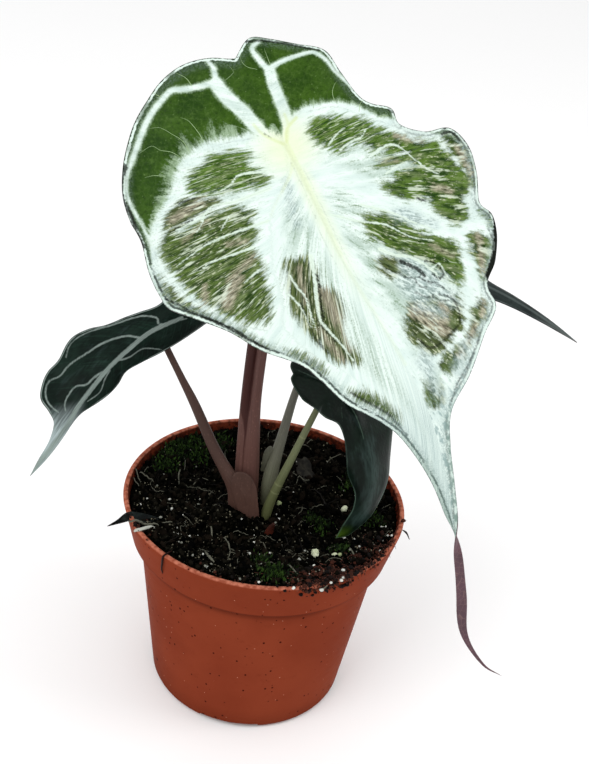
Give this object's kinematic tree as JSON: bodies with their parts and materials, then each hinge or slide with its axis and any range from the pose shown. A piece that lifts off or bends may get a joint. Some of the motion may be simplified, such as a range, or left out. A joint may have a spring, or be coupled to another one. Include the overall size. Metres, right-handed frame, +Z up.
{
  "type": "potted venom alocasia",
  "caption": "Round nursery pot filled with potting mix, holding a frosted, dark-veined shield leaf and smaller dark pointed leaves on sheathed stalks from one corm.",
  "frame": {"origin": "centre of the pot's flat base, in the plane that it stands on", "axes": "+Z up through the pot's axis, -Y towards the side that the large leaf faces, +X to the right seen from there"},
  "size_m": [0.2159, 0.1453, 0.2871],
  "materials": {
    "pot_plastic": "satin moulded terracotta-brown polypropylene",
    "potting_mix": "damp dark peat and bark crumbs with perlite",
    "corm_skin": "dry fibrous brown skin",
    "leaf_stalk": "smooth maroon to green living stalk",
    "frosted_leaf": "satin green leaf under a mint-white frost along its veins",
    "dark_leaf": "glossy black-green leaf with grey veins",
    "withered_sheath": "dry reddish brown sheath"
  },
  "bodies": {
    "root": {"pot": "pot_plastic", "soil": "potting_mix", "corm": "corm_skin", "main_stalk": "leaf_stalk", "main_blade": "frosted_leaf", "left_stalk": "leaf_stalk", "left_blade": "dark_leaf", "front_stalk": "leaf_stalk", "front_blade": "dark_leaf", "rear_stalk": "leaf_stalk", "rear_blade": "dark_leaf", "old_leaf_foot": "withered_sheath"}
  },
  "joints": []
}
